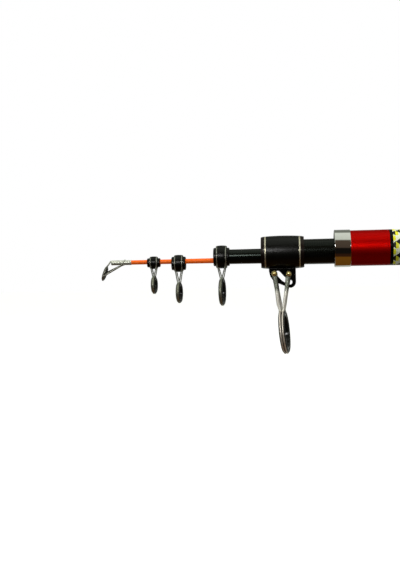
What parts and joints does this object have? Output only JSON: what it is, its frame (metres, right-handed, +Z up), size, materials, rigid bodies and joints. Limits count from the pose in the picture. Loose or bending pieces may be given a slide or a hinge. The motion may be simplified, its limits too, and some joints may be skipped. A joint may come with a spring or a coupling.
{
  "type": "telescopic fishing rod",
  "caption": "Collapsed telescopic spinning rod with folding and floating line guides, reel seat with sliding hood, foam grips and a screw-off butt cap.",
  "frame": {"origin": "centre of the rear grip, on the handle's axis", "axes": "+X along the rod toward the butt, -Z the way the line guides and the reel hang, +Z up"},
  "size_m": [0.575, 0.0294, 0.072],
  "materials": {
    "red_lacquer": "deep red lacquer over wound fibre, glossy",
    "chrome": "bright plated, mirror gloss",
    "wrap_print": "yellow, silver and black triangles under clear lacquer",
    "black_lacquer": "black gloss lacquer",
    "eva_foam": "closed-cell foam, matt, fine pores",
    "arbor_fibre": "fibre bush, matt",
    "seat_graphite": "moulded graphite nylon, satin",
    "moulded_black": "moulded black plastic, satin gloss",
    "insert_aluminium": "turned, plain",
    "rubber_black": "soft rubber, matt",
    "carbon": "wound carbon and glass fibre, fine wound grain, satin lacquer",
    "band_metal": "thin pale gold and silver foil band",
    "guide_steel": "polished stainless wire",
    "shock_ring": "dark olive grey moulded ring",
    "ceramic": "polished dark ceramic",
    "brass": "bright brass rivets",
    "tip_orange": "fluorescent orange lacquer on solid glass fibre"
  },
  "bodies": {
    "handle": {"handle_tube": "red_lacquer", "mouth_ferrule": "chrome", "diamond_wrap": "wrap_print", "wrap_bands": "black_lacquer", "front_check": "chrome", "foregrip": "eva_foam", "seat_arbors": "arbor_fibre", "reel_seat": "seat_graphite", "fixed_hood": "seat_graphite", "rear_check": "chrome", "rear_grip": "eva_foam", "butt_insert": "insert_aluminium"},
    "hood": {"sliding_hood": "seat_graphite"},
    "nut": {"lock_nut": "moulded_black"},
    "seal": {"cap_seal": "rubber_black"},
    "cap": {"butt_cap": "moulded_black", "butt_pad": "rubber_black", "section_cushion": "rubber_black"},
    "section_2": {"section_2_tube": "carbon", "large_sleeve": "moulded_black", "large_sleeve_bands": "band_metal"},
    "large_guide": {"large_frame": "guide_steel", "large_ring": "shock_ring", "large_insert": "ceramic", "pivot_rivet": "brass", "snap_rivets": "brass"},
    "section_3": {"section_3_tube": "carbon", "guide_3_sleeve": "moulded_black", "guide_3_frame": "guide_steel", "guide_3_ring": "shock_ring", "guide_3_insert": "ceramic"},
    "tip": {"tip_rod": "tip_orange", "tip_top": "guide_steel", "tip_ring": "shock_ring", "tip_insert": "ceramic"},
    "guide_1": {"guide_1_sleeve": "moulded_black", "guide_1_frame": "guide_steel", "guide_1_ring": "shock_ring", "guide_1_insert": "ceramic"},
    "guide_2": {"guide_2_sleeve": "moulded_black", "guide_2_frame": "guide_steel", "guide_2_ring": "shock_ring", "guide_2_insert": "ceramic"}
  },
  "joints": [
    {"name": "section_2_slide", "type": "slide", "parent": "handle", "child": "section_2", "axis": [-1, 0, 0.0037], "range_m": [0, 0.375]},
    {"name": "section_3_slide", "type": "slide", "parent": "section_2", "child": "section_3", "axis": [-1, 0, 0.0044], "range_m": [0, 0.415]},
    {"name": "tip_slide", "type": "slide", "parent": "section_3", "child": "tip", "axis": [-1, 0, 0.0044], "range_m": [0, 0.4412]},
    {"name": "guide_1_slide", "type": "slide", "parent": "tip", "child": "guide_1", "axis": [1, 0, 0.004], "range_m": [0, 0.1018]},
    {"name": "guide_2_slide", "type": "slide", "parent": "tip", "child": "guide_2", "axis": [1, 0, 0.0043], "range_m": [0, 0.2552]},
    {"name": "large_guide_fold", "type": "hinge", "parent": "section_2", "child": "large_guide", "pos_m": [-0.4011, 0, -0.0133], "axis": [0, -1, 0], "range_deg": [0, 90]},
    {"name": "hood_slide", "type": "slide", "parent": "handle", "child": "hood", "axis": [-1, 0, 0], "range_m": [0, 0.026]},
    {"name": "lock_nut_turn", "type": "hinge", "parent": "hood", "child": "nut", "pos_m": [-0.0788, 0, 0], "axis": [-1, 0, 0], "range_deg": [0, 3121]},
    {"name": "cap_slide", "type": "slide", "parent": "handle", "child": "seal", "axis": [1, 0, 0], "range_m": [0, 0.008]},
    {"name": "butt_cap_turn", "type": "hinge", "parent": "seal", "child": "cap", "pos_m": [0.062, 0, 0], "axis": [1, 0, 0], "range_deg": [0, 1441]}
  ],
  "couplings": [
    {"joint": "guide_1_slide", "follows": "tip_slide", "ratio": 0.23073},
    {"joint": "guide_2_slide", "follows": "tip_slide", "ratio": 0.57842},
    {"joint": "lock_nut_turn", "follows": "hood_slide", "rad_per_m": 2094.4},
    {"joint": "butt_cap_turn", "follows": "cap_slide", "rad_per_m": 3141.6}
  ]
}
